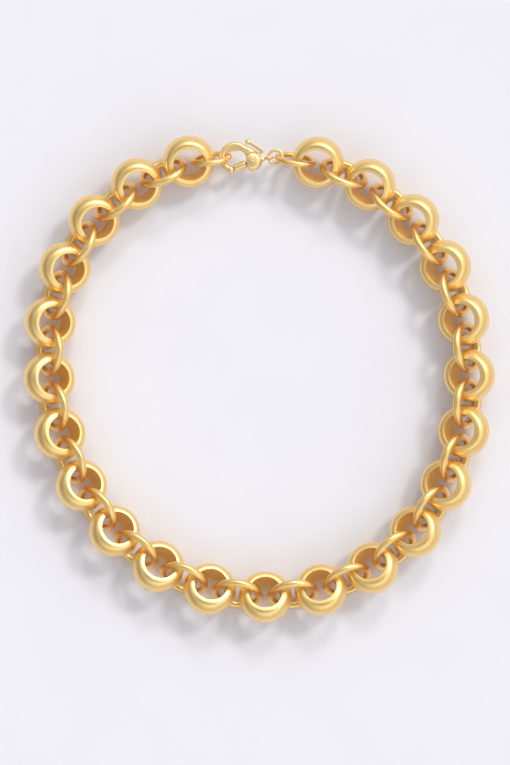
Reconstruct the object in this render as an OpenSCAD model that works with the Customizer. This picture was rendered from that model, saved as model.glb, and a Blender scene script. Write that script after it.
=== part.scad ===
// Chunky belcher chain necklace, laid flat in its closed loop.
// Domed rings alternate with round-wire links that stand across them, and a lobster clasp closes the loop.
// Frame: +Z up from the table, +Y toward the clasp, origin in the middle of the loop on the table.

/* [Rings] */
// Number of domed rings, an odd number so that one ring is at the front
ring_count = 23; // [19:2:25]
// Outer diameter of a ring
ring_od = 17.6; // [15.5:0.1:19]
// Diameter of the wide flat bore
ring_bore = 10.8; // [10.4:0.1:11.6]
// Height of a ring along its axis
ring_h = 8.5; // [7.5:0.1:9.5]
// Radius of the round shoulders, as a part of the ring's wall
shoulder_part = 0.6; // [0.5:0.01:0.65]
// Distance from the bore to the middle of a shoulder, as a part of the ring's wall
face_part = 0.175; // [0.16:0.005:0.25]
// Radius of the rounded edge of the bore
bore_edge_r = 0.25; // [0.15:0.05:0.3]
// Gap between neighbouring rings along the chain
ring_gap = 1.1; // [0.8:0.1:2]

/* [Links] */
// Wire diameter of a connecting link
link_wire = 2.45; // [2:0.05:2.7]
// Play between a link's inside and the shoulders of its two rings
link_play = 0.4; // [0.35:0.05:1]
// Wire diameter of the two end links beside the clasp
end_wire = 1.9; // [1.4:0.05:2]
// How far an end link's middle stands out past the bore of its ring
end_reach = 2.1; // [2:0.1:3]

/* [Clasp] */
// Diameter of the round hook
hook_wire = 2.2; // [2:0.05:2.4]
// Inner radius of the hook
hook_inner_r = 3.15; // [3:0.05:3.4]
// Radius of the clasp's round body
cheek_r = 3.3; // [3.2:0.05:3.5]
// Thickness of the clasp's body
cheek_t = 3; // [2.7:0.1:3.6]
// Thickness of the lever
lever_t = 1.1; // [0.9:0.05:1.3]
// Diameter of the rivet that the lever turns on
rivet_d = 1; // [0.8:0.05:1.2]
// How far the lever swings to open the gate, in degrees
lever_swing = 22; // [10:1:22]
// Wire diameter of the jump ring
jump_wire = 1; // [0.8:0.05:1.1]
// Wire diameter of the clasp's tail eye
eye_wire = 0.9; // [0.8:0.05:1]

/* [Lay on the table] */
// How much longer the loop is along one direction than round, as a part of its radius
oval = 0.032; // [0:0.001:0.06]
// Direction of the long axis, in degrees from +X
oval_dir = 108; // [0:1:180]
// Three-sided part of the loop's shape
three_lobe = 0.010; // [0:0.001:0.02]
// Direction of one of the three lobes, in degrees
three_lobe_dir = 32; // [0:1:120]
// Four-sided part of the loop's shape
four_lobe = 0.008; // [0:0.001:0.02]
// Direction of one of the four lobes, in degrees
four_lobe_dir = 45; // [0:1:90]
// Direction of the front ring, in degrees
front_dir = -88.5; // [-95:0.5:-85]
// Lean of the rings beside the clasp, tops toward the middle of the loop
ring_lean_back = 22; // [16:0.5:26]
// Lean of the front ring
ring_lean_front = 28.5; // [24:0.5:34]
// Lean of the connecting links beside the clasp
link_lean_back = 28; // [24:1:36]
// Lean of the connecting links at the front
link_lean_front = 34; // [28:1:40]
// Lean of the end links
end_lean = 19; // [12:1:26]
// How far the clasp lies outside the line between the two end rings
clasp_rise = 1.9; // [0:0.1:3]

/* [Hidden] */
$fn = 96;
gold = [0.90, 0.74, 0.43];
link_gold = [0.87, 0.66, 0.33];
clasp_gold = [0.84, 0.70, 0.42];
steel = [0.75, 0.75, 0.78];
slack = 0.3;
fine_gap = 0.25;
lean_ease = 3;

// Ring section, in its own plane: x from the axis, y along the axis.
ring_r = ring_od / 2;
bore_r = ring_bore / 2;
half_h = ring_h / 2;
wall = ring_r - bore_r;
shoulder_r = shoulder_part * wall;
shoulder_x = bore_r + face_part * wall;
shoulder_y = half_h - shoulder_r;
// The dome runs through the outermost point of the ring and smoothly into both shoulders.
shoulder_in = ring_r - shoulder_x;
dome_r = (pow(shoulder_y, 2) + pow(shoulder_in, 2) - pow(shoulder_r, 2)) / (2 * (shoulder_in - shoulder_r));
dome_x = ring_r - dome_r;
dome_meet_y = shoulder_y * dome_r / (dome_r - shoulder_r);

// Chain pitch and link sizes: a link holds the near shoulders of two rings with play.
pitch = ring_od + ring_gap;
link_inner_r = norm([pitch / 2 - bore_r, half_h]) + link_play;
link_mid_r = link_inner_r + link_wire / 2;
end_inner_r = norm([end_reach, half_h]) + link_play;
end_mid_r = end_inner_r + end_wire / 2;
ring_to_end_link = bore_r + end_reach;
ring_to_clasp_hold = ring_to_end_link + end_mid_r;

// Clasp, in its own frame: origin on the rivet, x toward the tail, y toward the back of the hook.
hook_mid_r = hook_inner_r + hook_wire / 2;
hook_at = [-6.3, 1.5];
hook_root_dir = 35;
hook_tip_dir = 244;
hook_tip_swell = 0.3;
hook_tip_d = hook_wire + hook_tip_swell;
hook_tip = hook_at + hook_mid_r * [cos(hook_tip_dir), sin(hook_tip_dir)];
hold_dir = 160;
hook_hold = hook_at + (hook_inner_r - end_wire / 2 - slack) * [cos(hold_dir), sin(hold_dir)];
arm_dir = 57;
arm_reach = 5.2;
arm_slim = 0.1;
arm_end_d = 1.7;
arm_end_swell = 0.1;
arm_start = hook_at + hook_mid_r * [cos(arm_dir), sin(arm_dir)];
arm_end = arm_start + arm_reach * [sin(arm_dir), -cos(arm_dir)];
web_t = 1.9;
eyelet_r = 2.45;
eyelet_y = 1.25;
eyelet_left = hook_at.x - hook_inner_r;
link_room = 0.65;
cheek_at = [-0.67, -0.44];
cheek_edge_r = 1.25;
cheek_left = -2.6;
lever_play = 0.1;
slot_t = lever_t + 2 * lever_play;
hub_r = 1.5;
lever_w = 1;
lever_room = 0.2;
gate_dir = 197;
gate_root_d = 2.7;
gate_tip_d = 1.7;
gate_start = 3.35;
gate_sink = 0.5;
gate_reach = min(6.95, norm(hook_hold) - end_wire / 2 - slack);
elbow = [3.1, 2.6];
elbow_dir = atan2(elbow.y, elbow.x);
nub = [-1.35, 6.2];
nub_r = 1;
thumb_t = 1.7;
thumb_w = 1.2;
neck_root_d = 2.9;
neck_end_d = 1.5;
neck_sink = 1.4;
rivet_play = 0.075;
rivet_sink = 0.02;
eye_mid_r = 1.2;
eye_at = [4.9, 0];
spring_r = 2.5;
spring_t = 0.3;
spring_h = lever_t - 2 * lever_play;
spring_seat_dir = 122;
spring_room = 0.25;
spring_touch = 0.05;
spring_end_dir = gate_dir - asin((lever_w / 2 + spring_touch) / (spring_r - spring_t));

// Jump ring and the right end link, along the clasp's tail line.
end_left = eye_at.x + eye_mid_r + eye_wire / 2 + slack;
jump_far = end_left + end_wire + fine_gap + jump_wire / 2;
jump_near = eye_at.x;
jump_mid_r = (jump_far - jump_near) / 2;
jump_at = [(jump_far + jump_near) / 2, 0];
tail_hold = [end_left + end_wire / 2, 0];

// Loop: a near-round curve, walked both ways from the front ring in equal steps of one pitch.
// Its size is found so that the clasp and its end links just fill the space between the two end rings.
hold_span = norm(tail_hold - hook_hold);
end_run = sqrt(pow(ring_to_clasp_hold, 2) - pow(clasp_rise, 2));
close_span = hold_span + 2 * end_run;
arm_steps = (ring_count - 1) / 2;
round_size = ((ring_count - 1) * pitch + close_span) / (2 * PI);
least_size = 0.93;
most_size = 1.1;

function lobe(n, part, dir, t) = part * cos(n * (t - dir));
function loop_r(t) = 1 + lobe(2, oval, oval_dir, t) + lobe(3, three_lobe, three_lobe_dir, t)
    + lobe(4, four_lobe, four_lobe_dir, t);
function loop_at(t, size) = size * loop_r(t) * [cos(t), sin(t)];
function step_from(t, size, d, tries = 6) = tries == 0 ? t + d
    : step_from(t, size, d * pitch / norm(loop_at(t + d, size) - loop_at(t, size)), tries - 1);
function arm(t, size, way, steps) = steps == 0 ? [t]
    : concat([t], arm(step_from(t, size, way * pitch / size * 180 / PI), size, way, steps - 1));
function end_gap(size) =
    let (left = arm(front_dir, size, -1, arm_steps)[arm_steps],
         right = arm(front_dir, size, 1, arm_steps)[arm_steps],
         gap = norm(loop_at(right, size) - loop_at(left, size)))
    right - left < 360 ? gap : -gap;
function fit_size(low, high, tries = 40) =
    let (mid = (low + high) / 2)
    tries == 0 ? mid
        : end_gap(mid) > close_span ? fit_size(low, mid, tries - 1) : fit_size(mid, high, tries - 1);

loop_size = fit_size(least_size * round_size, most_size * round_size);
left_arm = arm(front_dir, loop_size, -1, arm_steps);
right_arm = arm(front_dir, loop_size, 1, arm_steps);
ring_dirs = concat([for (i = [arm_steps : -1 : 0]) left_arm[i]], [for (i = [1 : arm_steps]) right_arm[i]]);
ring_spots = [for (t = ring_dirs) loop_at(t, loop_size)];
last = ring_count - 1;

function heading(v) = atan2(v.y, v.x);
// The lean grows from the back to the front, fast at first.
function eased(i, back, front) = front - (front - back) * pow(abs(i - arm_steps) / arm_steps, lean_ease);
function ring_lean(i) = eased(i, ring_lean_back, ring_lean_front);
function link_lean(i) = eased(i, link_lean_back, link_lean_front);
// Height of a ring's middle: the lower of its leaning shoulder and the leaning links just meets the table.
function ring_rest(lean) = shoulder_x * sin(lean) + shoulder_y * cos(lean) + shoulder_r;
function link_rest(lean, drop) = (link_mid_r + drop) * cos(lean) + link_wire / 2;
function ring_z(i) =
    let (low = max(link_drop(max(i - 1, 0)), link_drop(min(i, last - 1))))
    max(link_rest(link_lean(i), low), ring_rest(ring_lean(i)));

// Where the clasp lies: its two holds are on a line outside the line between the end rings.
back_line = ring_spots[last] - ring_spots[0];
back_dir = heading(back_line);
back_out = [-sin(back_dir), cos(back_dir)];
left_hold = ring_spots[0] + end_run * [cos(back_dir), sin(back_dir)] + clasp_rise * back_out;
right_hold = ring_spots[last] - end_run * [cos(back_dir), sin(back_dir)] + clasp_rise * back_out;

function ring_heading(i) =
    heading((i < last ? ring_spots[i + 1] : right_hold) - (i > 0 ? ring_spots[i - 1] : left_hold));
function link_heading(i) = heading(ring_spots[i + 1] - ring_spots[i]);
// Leaning rings turn their lower edges apart, so a link hangs lower than their middles and has even play.
function drop(reach, lean, link_lean, turn) = reach * sin(lean) * turn / cos(lean - link_lean);
function link_drop(i) =
    let (turn = (sin(link_heading(i) - ring_heading(i)) + sin(ring_heading(i + 1) - link_heading(i))) / 2)
    drop(pitch / 2, ring_lean(i + 0.5), link_lean(i + 0.5), turn);
end_turn = (sin(ring_heading(0) - heading(ring_spots[0] - left_hold))
    + sin(heading(right_hold - ring_spots[last]) - ring_heading(last))) / 2;
back_z = ring_z(0);
clasp_z = back_z - drop(ring_to_end_link, ring_lean_back, end_lean, end_turn);
clasp_dir = back_dir - heading(tail_hold - hook_hold);
function turned(v, a) = [v.x * cos(a) - v.y * sin(a), v.x * sin(a) + v.y * cos(a)];
rivet_spot = left_hold - turned(hook_hold, clasp_dir);

function two_digits(i) = str(i < 10 ? "0" : "", i);
ring_names = [for (i = [1 : ring_count]) str("ring_", two_digits(i))];
link_names = [for (i = [1 : last]) str("link_", two_digits(i))];

// Section of a ring: flat bore and faces, rounded bore edges, round shoulders and a domed outside.
module ring_section() {
    edge = bore_edge_r;
    translate([bore_r + edge, -half_h])
        square([shoulder_x - bore_r - edge, ring_h]);
    translate([bore_r, edge - half_h])
        square([2 * edge, ring_h - 2 * edge]);
    for (side = [-1, 1]) {
        translate([bore_r + edge, side * (half_h - edge)])
            circle(r = edge);
        intersection() {
            translate([shoulder_x, side * shoulder_y])
                circle(r = shoulder_r);
            translate([shoulder_x - edge, -half_h])
                square([2 * shoulder_r, ring_h]);
        }
    }
    intersection() {
        translate([dome_x, 0])
            circle(r = dome_r);
        translate([shoulder_x - edge, -dome_meet_y])
            square([dome_r, 2 * dome_meet_y]);
    }
}

// A closed wire ring in the x-y plane.
module wire_ring(mid_r, wire) {
    rotate_extrude()
        translate([mid_r, 0])
            circle(d = wire);
}

// Sets children down at a spot on the table, x along the chain and tops leaning to the left of it.
module lay(spot, z, dir, lean) {
    translate([spot.x, spot.y, z])
        rotate([0, 0, dir])
            rotate([-lean, 0, 0])
                children();
}

module ring(i) {
    color(gold)
        lay(ring_spots[i], ring_z(i), ring_heading(i), ring_lean(i))
            rotate_extrude()
                ring_section();
}

module link(i) {
    color(link_gold)
        lay((ring_spots[i] + ring_spots[i + 1]) / 2, (ring_z(i) + ring_z(i + 1)) / 2,
            link_heading(i), link_lean(i + 0.5))
            translate([0, 0, -link_drop(i)])
                rotate([90, 0, 0])
                    wire_ring(link_mid_r, link_wire);
}

// An end link hangs between the ring at "spot" and the hold on the clasp's line.
module end_link(spot, hold, way) {
    along = (hold - spot) / norm(hold - spot);
    color(link_gold)
        lay(hold - end_mid_r * along, clasp_z, heading(way * along), end_lean)
            rotate([90, 0, 0])
                wire_ring(end_mid_r, end_wire);
}

// Both end links run the way the chain does: into ring 1 on the left, out of the last ring on the right.
module end_link_left() {
    end_link(ring_spots[0], left_hold, -1);
}

module end_link_right() {
    end_link(ring_spots[last], right_hold, 1);
}

// Sets children down in the clasp's own frame.
module in_clasp() {
    translate([rivet_spot.x, rivet_spot.y, clasp_z])
        rotate([0, 0, clasp_dir])
            children();
}

module jump_ring() {
    color(clasp_gold)
        in_clasp()
            translate([jump_at.x, jump_at.y, 0])
                wire_ring(jump_mid_r, jump_wire);
}

// A round pad with a rounded rim.
module cheek() {
    half = cheek_t / 2;
    flat_y = half - cheek_edge_r;
    rim_x = cheek_r - cheek_edge_r;
    rotate_extrude() {
        translate([0, -half])
            square([rim_x, cheek_t]);
        translate([0, -flat_y])
            square([cheek_r, 2 * flat_y]);
        for (side = [-1, 1])
            intersection() {
                translate([rim_x, side * flat_y])
                    circle(r = cheek_edge_r);
                translate([0, -half])
                    square([2 * cheek_r, cheek_t]);
            }
    }
}

// A straight bar from the origin, in direction "dir".
module bar(dir, reach, w) {
    rotate(dir)
        translate([0, -w / 2])
            square([reach, w]);
}

// The room that a lever arm sweeps as it turns from "dir" back by the swing.
module sweep_room(dir, reach) {
    w = lever_w + 2 * lever_room;
    bar(dir, reach, w);
    bar(dir - lever_swing, reach, w);
    polygon([[0, 0],
        reach * [cos(dir), sin(dir)],
        reach / cos(lever_swing / 2) * [cos(dir - lever_swing / 2), sin(dir - lever_swing / 2)],
        reach * [cos(dir - lever_swing), sin(dir - lever_swing)]]);
}

// Slot between the cheeks for the lever, its swing and its spring.
module lever_slot() {
    slot_reach = norm(cheek_at) + cheek_r;
    translate([0, 0, -slot_t / 2])
        linear_extrude(slot_t) {
            circle(r = hub_r + lever_room);
            sweep_room(gate_dir, slot_reach);
            sweep_room(elbow_dir, slot_reach);
        }
    spring_w = spring_t + 2 * spring_room;
    rotate([0, 0, spring_seat_dir])
        rotate_extrude(angle = gate_dir - spring_seat_dir)
            translate([spring_r - spring_w / 2, -slot_t / 2])
                square([spring_w, slot_t]);
}

module hook() {
    translate([hook_at.x, hook_at.y, 0])
        rotate([0, 0, hook_root_dir])
            rotate_extrude(angle = hook_tip_dir - hook_root_dir)
                translate([hook_mid_r, 0])
                    circle(d = hook_wire);
    translate([hook_tip.x, hook_tip.y, 0])
        sphere(d = hook_tip_d);
}

// The hook's back runs on as a straight, tapering arm along the top of the body.
module back_arm() {
    translate([hook_at.x, hook_at.y, 0])
        rotate([0, 0, arm_dir])
            translate([hook_mid_r, 0, 0])
                rotate([90, 0, 0]) {
                    cylinder(d1 = hook_wire - arm_slim, d2 = arm_end_d, h = arm_reach);
                    translate([0, 0, arm_reach])
                        sphere(d = arm_end_d + arm_end_swell);
                }
}

module tail() {
    neck_start = cheek_at.x + cheek_r - neck_sink;
    translate([neck_start, 0, 0])
        rotate([0, 90, 0])
            cylinder(d1 = neck_root_d, d2 = neck_end_d, h = eye_at.x - eye_mid_r - neck_start);
    translate([eye_at.x, eye_at.y, 0])
        rotate([90, 0, 0])
            wire_ring(eye_mid_r, eye_wire);
}

// Flat web that fills the corner between the hook, the arm and the cheek.
module web() {
    translate([0, 0, -web_t / 2])
        linear_extrude(web_t) {
            translate(hook_at)
                circle(r = hook_mid_r);
            polygon([hook_at, arm_start, arm_end, cheek_at]);
        }
}

// The long hole inside the hook, with room for the end link, and open below where the gate closes it.
module mouth() {
    translate(hook_hold)
        circle(r = end_wire / 2 + link_room);
    width = cheek_left - eyelet_left;
    for (x = [eyelet_left + eyelet_r, cheek_left - eyelet_r])
        translate([x, eyelet_y])
            circle(r = eyelet_r);
    translate([eyelet_left + eyelet_r, eyelet_y])
        square([width - 2 * eyelet_r, eyelet_r]);
    translate([cheek_left - 2 * width, eyelet_y - 2 * width])
        square(2 * width);
}

module clasp_body() {
    color(clasp_gold)
        in_clasp()
            difference() {
                union() {
                    difference() {
                        union() {
                            translate([cheek_at.x, cheek_at.y, 0])
                                cheek();
                            web();
                        }
                        translate([0, 0, -cheek_t])
                            linear_extrude(2 * cheek_t)
                                mouth();
                    }
                    hook();
                    back_arm();
                    tail();
                }
                lever_slot();
                translate([0, 0, -cheek_t])
                    cylinder(d = rivet_d, h = 2 * cheek_t);
            }
}

// Gate, hub, arm and thumb piece with its nub, all turning together on the rivet.
module clasp_lever() {
    thumb = nub - elbow;
    color(clasp_gold)
        in_clasp()
            difference() {
                union() {
                    translate([0, 0, -lever_t / 2])
                        linear_extrude(lever_t) {
                            circle(r = hub_r);
                            bar(gate_dir, gate_start + gate_sink, lever_w);
                            bar(elbow_dir, norm(elbow), lever_w);
                        }
                    rotate([0, 0, gate_dir])
                        translate([gate_start, 0, 0])
                            rotate([0, 90, 0])
                                cylinder(d1 = gate_root_d, d2 = gate_tip_d, h = gate_reach - gate_start);
                    translate([elbow.x, elbow.y, -thumb_t / 2]) {
                        cylinder(d = lever_w, h = thumb_t);
                        linear_extrude(thumb_t)
                            bar(heading(thumb), norm(thumb), thumb_w);
                    }
                    translate([nub.x, nub.y, 0])
                        sphere(r = nub_r);
                }
                translate([0, 0, -lever_t])
                    cylinder(d = rivet_d + 2 * rivet_play, h = 2 * lever_t);
            }
}

module clasp_rivet() {
    color(clasp_gold)
        in_clasp()
            translate([0, 0, rivet_sink - cheek_t / 2])
                cylinder(d = rivet_d, h = cheek_t - 2 * rivet_sink);
}

// Leaf spring curled round the rivet, from its seat between the cheeks to the back of the gate arm.
module clasp_spring() {
    color(steel)
        in_clasp()
            rotate([0, 0, spring_seat_dir])
                rotate_extrude(angle = spring_end_dir - spring_seat_dir)
                    translate([spring_r - spring_t / 2, -spring_h / 2])
                        square([spring_t, spring_h]);
}

for (i = [0 : last])
    ring(i);
for (i = [0 : last - 1])
    link(i);
end_link_left();
end_link_right();
jump_ring();
clasp_body();
clasp_lever();
clasp_rivet();
clasp_spring();
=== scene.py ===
"""Looks of the chunky gold chain necklace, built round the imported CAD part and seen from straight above."""
import math

import bpy
from mathutils import Matrix, Vector


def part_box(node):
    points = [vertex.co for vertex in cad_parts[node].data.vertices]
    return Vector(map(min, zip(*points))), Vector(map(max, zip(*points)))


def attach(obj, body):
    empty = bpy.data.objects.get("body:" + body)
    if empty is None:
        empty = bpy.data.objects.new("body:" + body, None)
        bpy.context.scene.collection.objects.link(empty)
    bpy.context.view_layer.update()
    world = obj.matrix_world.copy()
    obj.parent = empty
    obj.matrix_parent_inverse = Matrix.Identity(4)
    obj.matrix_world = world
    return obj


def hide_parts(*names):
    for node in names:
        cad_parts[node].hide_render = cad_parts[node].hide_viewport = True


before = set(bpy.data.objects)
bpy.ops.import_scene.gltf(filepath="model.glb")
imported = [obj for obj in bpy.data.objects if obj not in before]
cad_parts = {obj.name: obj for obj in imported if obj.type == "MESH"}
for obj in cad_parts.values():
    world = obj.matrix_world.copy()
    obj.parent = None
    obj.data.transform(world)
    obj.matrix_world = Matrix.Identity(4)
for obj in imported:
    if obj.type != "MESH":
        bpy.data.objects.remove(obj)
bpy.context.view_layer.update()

# The photo's frame: its height in pixels, its pixels to a metre, the point in its middle, at about the
# height of the rings' middles, and how far above that point the camera is.
PHOTO_HIGH = 765
PX_PER_M = 3000
VIEW_MID = Vector((-0.00144, -0.00314, 0.007))
VIEW_FAR = 0.75
SENSOR_MM = 36

# Colours are linear. Each metal goes between two tones.
SATIN_GOLD = (0.98, 0.69, 0.25)
SATIN_WARM = (0.97, 0.65, 0.21)
# Painted shade for the rings' bores, mixed into their hollows.
BORE_PAINTED_SHADE = (0.96, 0.61, 0.085)
LINK_GOLD = (0.97, 0.67, 0.24)
LINK_WARM = (0.95, 0.62, 0.19)
CLASP_GOLD = (0.95, 0.71, 0.34)
CLASP_WARM = (0.93, 0.66, 0.28)
# Painted shade for the clasp's crevices, mixed into its hollows.
CLASP_SHADE = (0.85, 0.52, 0.17)
STEEL = (0.55, 0.55, 0.58)
STEEL_WARM = (0.48, 0.47, 0.47)
LACQUER_ROUGH = 0.3
# Patches of finer and coarser satin to one change of tone.
PATCHES_PER_TONE = 4
# Painted shade in a piece's hollows, with a duller satin there: its tone, its roughness and the size of such
# a hollow in metres.
RING_HOLLOW_SHADE = (BORE_PAINTED_SHADE, 0.75, 0.014)
CLASP_HOLLOW_SHADE = (CLASP_SHADE, 0.5, 0.003)
# How open a point is, up to 1, where a hollow's painted shade begins and where it is full.
HOLLOW_FROM, HOLLOW_FULL = 0.96, 0.76
HOLLOW_SAMPLES = 8

# The middle of the noise's range, where most of it lies: wider for roughness, narrower for tones.
NOISE_RANGE = (0.3, 0.7)
TONE_RANGE = (0.35, 0.65)

# Sockets of the Mix node, which has one set for each type of data.
MIX_A, MIX_B, MIX_OUT = 2, 3, 0
MIX_COLOR_A, MIX_COLOR_B, MIX_COLOR_OUT = 6, 7, 2

# The clasp's skins, in millimetres in the clasp's own frame: origin on the rivet, x toward the tail.
MM = 0.001
CLASP_TURN = math.radians(7.25932)
SKIN_VOXEL = 0.12
# Passes of smoothing on each skin.
BODY_ROUNDING, RIVET_ROUNDING, LEVER_ROUNDING = 8, 1, 12
# The crown on the cheeks: its middle, its radius and its rise as a share of the thickness there.
CHEEK_MID = Vector((-0.67, -0.44))
CHEEK_R = 3.3
CHEEK_RISE = 0.45
RIVET_PROUD = 1.03
# The gate's direction, and how far along it the neck, the gate itself and the gate's end are.
GATE_DIR = math.radians(197)
GATE_ALONG = Vector((math.cos(GATE_DIR), math.sin(GATE_DIR)))
GATE_NECK, GATE_FROM, GATE_TO = 2.6, 3.35, 6.95
# How far the gate's start moves in and its end moves out, and the share by which its end is fuller.
GATE_CLOSER = 0.18
GATE_LONGER = 0.28
GATE_FULLER = 0.4

FLOOR_TINT = (0.824, 0.808, 0.826)
FLOOR_SHADE = (0.81, 0.794, 0.812)
FLOOR_CLOUDS = 40
FLOOR_ROUGH = 0.9
FLOOR_GLOSS = 0.1
FLOOR_WIDE = 8.0
FLOOR_PARTS = 8

# Soft studio light: two lamps from the upper right of the picture and a pale room, dimmer on the left.
# A lamp has its azimuth and height in degrees and its power.
LAMPS = [
    ("lamp_right", 44, 44, 0.88),
    ("lamp_top", 76, 40, 0.54),
]
LAMP_WIDE = math.radians(11)
# The room's light by how far up a direction points, and what it is multiplied by, by how far right.
ROOM_STOPS = [(0.0, 0.25), (0.25, 0.55), (0.55, 1.08), (0.78, 0.95), (0.92, 0.42), (1.0, 0.26)]
ROOM_TINT = (0.965, 0.98, 1.05)
ROOM_LEFT, ROOM_RIGHT = (-0.95, 0.4), (0.0, 1.28)


class Graph:
    """A node tree that is written as calls: each returns the node it makes."""

    def __init__(self, tree):
        self.tree = tree
        tree.nodes.clear()

    def node(self, kind, **values):
        made = self.tree.nodes.new(kind)
        for name, value in values.items():
            setattr(made, name, value)
        return made

    def join(self, source, output, target, socket):
        self.tree.links.new(source.outputs[output], target.inputs[socket])

    def noise(self, coords, scale, detail):
        made = self.node("ShaderNodeTexNoise")
        made.inputs["Scale"].default_value = scale
        made.inputs["Detail"].default_value = detail
        self.join(coords, "Object", made, "Vector")
        return made

    def span(self, noise, low, high):
        """The noise's value, mapped from its middle range to low to high."""
        made = self.node("ShaderNodeMapRange")
        made.inputs["From Min"].default_value = NOISE_RANGE[0]
        made.inputs["From Max"].default_value = NOISE_RANGE[1]
        made.inputs["To Min"].default_value = low
        made.inputs["To Max"].default_value = high
        self.join(noise, "Fac", made, "Value")
        return made

    def two_tones(self, noise, *tones):
        made = self.node("ShaderNodeValToRGB")
        for stop, place, tone in zip(made.color_ramp.elements, TONE_RANGE, tones):
            stop.position = place
            stop.color = (*tone, 1)
        self.join(noise, "Fac", made, "Fac")
        return made

    def hollows(self, reach):
        """Mask for painted shade: 1 in the piece's own hollows, 0 on its open faces."""
        shade = self.node("ShaderNodeAmbientOcclusion", samples=HOLLOW_SAMPLES, only_local=True)
        shade.inputs["Distance"].default_value = reach
        made = self.node("ShaderNodeMapRange")
        made.inputs["From Min"].default_value = HOLLOW_FROM
        made.inputs["From Max"].default_value = HOLLOW_FULL
        self.join(shade, "AO", made, "Value")
        return made


def metal(name, tones, rough, tone_scale, grain_scale, grain_deep, lacquer, hollow_shade=None):
    """Plated metal under lacquer: slow changes of tone, patches of satin, fine grain, painted shade and
    duller satin in hollows.
    """
    material = bpy.data.materials.new(name)
    material.use_nodes = True
    graph = Graph(material.node_tree)
    out = graph.node("ShaderNodeOutputMaterial")
    shader = graph.node("ShaderNodeBsdfPrincipled")
    shader.inputs["Metallic"].default_value = 1
    shader.inputs["Coat Weight"].default_value = lacquer
    shader.inputs["Coat Roughness"].default_value = LACQUER_ROUGH
    coords = graph.node("ShaderNodeTexCoord")
    tone = graph.two_tones(graph.noise(coords, scale=tone_scale, detail=3), *tones)
    patches = graph.span(graph.noise(coords, scale=tone_scale * PATCHES_PER_TONE, detail=4), *rough)
    # Hollows get a painted shade, which is a darker tone mixed in by how enclosed each point is, and a duller
    # roughness.
    if hollow_shade:
        hollow_shade_tone, hollow_rough, reach = hollow_shade
        hollow_shade_mask = graph.hollows(reach)
        shaded_tone = graph.node("ShaderNodeMix", data_type="RGBA")
        shaded_tone.inputs[MIX_COLOR_B].default_value = (*hollow_shade_tone, 1)
        dull = graph.node("ShaderNodeMix", data_type="FLOAT")
        dull.inputs[MIX_B].default_value = hollow_rough
        graph.join(hollow_shade_mask, "Result", shaded_tone, "Factor")
        graph.join(hollow_shade_mask, "Result", dull, "Factor")
        graph.join(tone, "Color", shaded_tone, MIX_COLOR_A)
        graph.join(patches, "Result", dull, MIX_A)
        graph.join(shaded_tone, MIX_COLOR_OUT, shader, "Base Color")
        graph.join(dull, MIX_OUT, shader, "Roughness")
    else:
        graph.join(tone, "Color", shader, "Base Color")
        graph.join(patches, "Result", shader, "Roughness")
    grain = graph.noise(coords, scale=grain_scale, detail=2)
    bump = graph.node("ShaderNodeBump")
    bump.inputs["Strength"].default_value = 1
    bump.inputs["Distance"].default_value = grain_deep
    graph.join(grain, "Fac", bump, "Height")
    graph.join(bump, "Normal", shader, "Normal")
    graph.join(shader, "BSDF", out, "Surface")
    return material


def floor_paper():
    """Matte paper with faint clouds in its tone."""
    material = bpy.data.materials.new("floor_paper")
    material.use_nodes = True
    graph = Graph(material.node_tree)
    out = graph.node("ShaderNodeOutputMaterial")
    shader = graph.node("ShaderNodeBsdfPrincipled")
    shader.inputs["Roughness"].default_value = FLOOR_ROUGH
    shader.inputs["Specular IOR Level"].default_value = FLOOR_GLOSS
    coords = graph.node("ShaderNodeTexCoord")
    tone = graph.two_tones(graph.noise(coords, scale=FLOOR_CLOUDS, detail=3), FLOOR_TINT, FLOOR_SHADE)
    graph.join(tone, "Color", shader, "Base Color")
    graph.join(shader, "BSDF", out, "Surface")
    return material


def dress_nodes():
    """Gives every CAD node its own metal, and returns the clasp's."""
    satin = metal("satin_gold", tones=(SATIN_GOLD, SATIN_WARM), rough=(0.34, 0.42), tone_scale=90,
                  grain_scale=7000, grain_deep=4e-6, lacquer=1, hollow_shade=RING_HOLLOW_SHADE)
    link = metal("link_gold", tones=(LINK_GOLD, LINK_WARM), rough=(0.34, 0.42), tone_scale=140,
                 grain_scale=8000, grain_deep=3e-6, lacquer=0.6)
    clasp = metal("clasp_gold", tones=(CLASP_GOLD, CLASP_WARM), rough=(0.38, 0.46), tone_scale=220,
                  grain_scale=6000, grain_deep=1.5e-6, lacquer=0.6, hollow_shade=CLASP_HOLLOW_SHADE)
    steel = metal("spring_steel", tones=(STEEL, STEEL_WARM), rough=(0.22, 0.3), tone_scale=300,
                  grain_scale=6000, grain_deep=1.5e-6, lacquer=0)
    for name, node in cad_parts.items():
        if name.startswith("ring"):
            chosen = satin
        elif "link" in name:
            chosen = link
        elif name == "clasp_spring":
            chosen = steel
        else:
            chosen = clasp
        node.data.materials.clear()
        node.data.materials.append(chosen)
    return clasp


def domed_cheek(point):
    """The clasp body's flat cheeks, crowned."""
    off = ((point.xy - CHEEK_MID).length / CHEEK_R) ** 2
    rise = CHEEK_RISE * max(0, 1 - off)
    return Vector((point.x, point.y, point.z * (1 + rise)))


def domed_rivet(point):
    """The rivet, its ends brought out to the crowned cheeks."""
    raised = domed_cheek(point)
    return Vector((raised.x, raised.y, raised.z * RIVET_PROUD))


def full_gate(point):
    """The gate, fuller toward its end, and closer to the cheeks and to the hook's tip."""
    along = point.xy.dot(GATE_ALONG)
    if along <= GATE_NECK:
        return point
    share = (along - GATE_FROM) / (GATE_TO - GATE_FROM)
    if share < 0:
        shift, full = -GATE_CLOSER * (along - GATE_NECK) / (GATE_FROM - GATE_NECK), 1
    else:
        shift, full = GATE_LONGER * share - GATE_CLOSER * (1 - share), 1 + GATE_FULLER * share
    moved = (along + shift) * GATE_ALONG + (point.xy - along * GATE_ALONG) * full
    return Vector((moved.x, moved.y, point.z * full))


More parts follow.
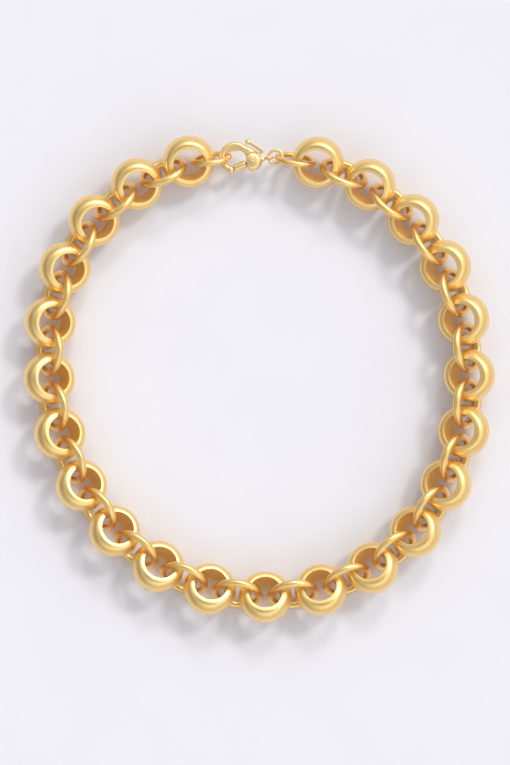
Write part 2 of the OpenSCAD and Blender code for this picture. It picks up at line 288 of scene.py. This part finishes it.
def skin_node(name, body, shape, rounding, material):
    """Stands a smoother, fuller copy of a clasp node in the node's place."""
    low, high = (Vector(corner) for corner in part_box("clasp_rivet"))
    to_rivet = Matrix.Translation((low + high) / 2)
    to_world = to_rivet @ Matrix.Rotation(CLASP_TURN, 4, "Z") @ Matrix.Scale(MM, 4)
    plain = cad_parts[name].data.copy()
    plain.transform(to_world.inverted())
    piece = bpy.data.objects.new(name + "_skin", plain)
    bpy.context.scene.collection.objects.link(piece)
    remesh = piece.modifiers.new("remesh", "REMESH")
    remesh.mode = "VOXEL"
    remesh.voxel_size = SKIN_VOXEL
    smooth = piece.modifiers.new("smooth", "SMOOTH")
    smooth.iterations = rounding
    evaluated = piece.evaluated_get(bpy.context.evaluated_depsgraph_get())
    made = bpy.data.meshes.new_from_object(evaluated)
    piece.modifiers.clear()
    for vertex in made.vertices:
        vertex.co = shape(vertex.co)
    made.transform(to_world)
    made.shade_smooth()
    made.materials.clear()
    made.materials.append(material)
    piece.data = made
    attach(piece, body)
    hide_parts(name)


def skin_clasp(material):
    skin_node("clasp_body", "clasp_body", domed_cheek, BODY_ROUNDING, material)
    skin_node("clasp_rivet", "clasp_body", domed_rivet, RIVET_ROUNDING, material)
    skin_node("clasp_lever", "clasp_lever", full_gate, LEVER_ROUNDING, material)


def lay_floor():
    bpy.ops.mesh.primitive_grid_add(
        x_subdivisions=FLOOR_PARTS, y_subdivisions=FLOOR_PARTS, size=FLOOR_WIDE)
    floor = bpy.context.object
    floor.name = "floor"
    floor.data.materials.append(floor_paper())


def hang_lamps():
    for name, azimuth, height, power in LAMPS:
        lamp = bpy.data.lights.new(name, "SUN")
        lamp.energy = power
        lamp.angle = LAMP_WIDE
        holder = bpy.data.objects.new(name, lamp)
        bpy.context.scene.collection.objects.link(holder)
        turn = math.radians(azimuth)
        lift = math.radians(height)
        toward = Vector((math.cos(turn) * math.cos(lift), math.sin(turn) * math.cos(lift), math.sin(lift)))
        holder.location = toward
        holder.rotation_mode = "QUATERNION"
        holder.rotation_quaternion = toward.to_track_quat("Z", "Y")


def build_room():
    world = bpy.data.worlds.new("room")
    world.use_nodes = True
    graph = Graph(world.node_tree)
    out = graph.node("ShaderNodeOutputWorld")
    background = graph.node("ShaderNodeBackground")
    coords = graph.node("ShaderNodeTexCoord")
    split = graph.node("ShaderNodeSeparateXYZ")
    ramp = graph.node("ShaderNodeValToRGB")
    side = graph.node("ShaderNodeMapRange")
    stops = ramp.color_ramp.elements
    for place, _ in ROOM_STOPS[1:-1]:
        stops.new(place)
    for stop, (place, level) in zip(stops, ROOM_STOPS):
        stop.position = place
        stop.color = (*(level * part for part in ROOM_TINT), 1)
    side.inputs["From Min"].default_value, side.inputs["To Min"].default_value = ROOM_LEFT
    side.inputs["From Max"].default_value, side.inputs["To Max"].default_value = ROOM_RIGHT
    graph.join(coords, "Generated", split, "Vector")
    graph.join(split, "Z", ramp, "Fac")
    graph.join(split, "X", side, "Value")
    graph.join(ramp, "Color", background, "Color")
    graph.join(side, "Result", background, "Strength")
    graph.join(background, "Background", out, "Surface")
    bpy.context.scene.world = world


def set_camera():
    camera = bpy.data.cameras.new("camera")
    camera.sensor_width = SENSOR_MM
    camera.lens = SENSOR_MM * VIEW_FAR / (PHOTO_HIGH / PX_PER_M)
    holder = bpy.data.objects.new("camera", camera)
    holder.location = VIEW_MID + Vector((0, 0, VIEW_FAR))
    bpy.context.scene.collection.objects.link(holder)
    bpy.context.scene.camera = holder


clasp_metal = dress_nodes()
skin_clasp(clasp_metal)
lay_floor()
hang_lamps()
build_room()
set_camera()
bpy.context.scene.view_settings.view_transform = "Standard"
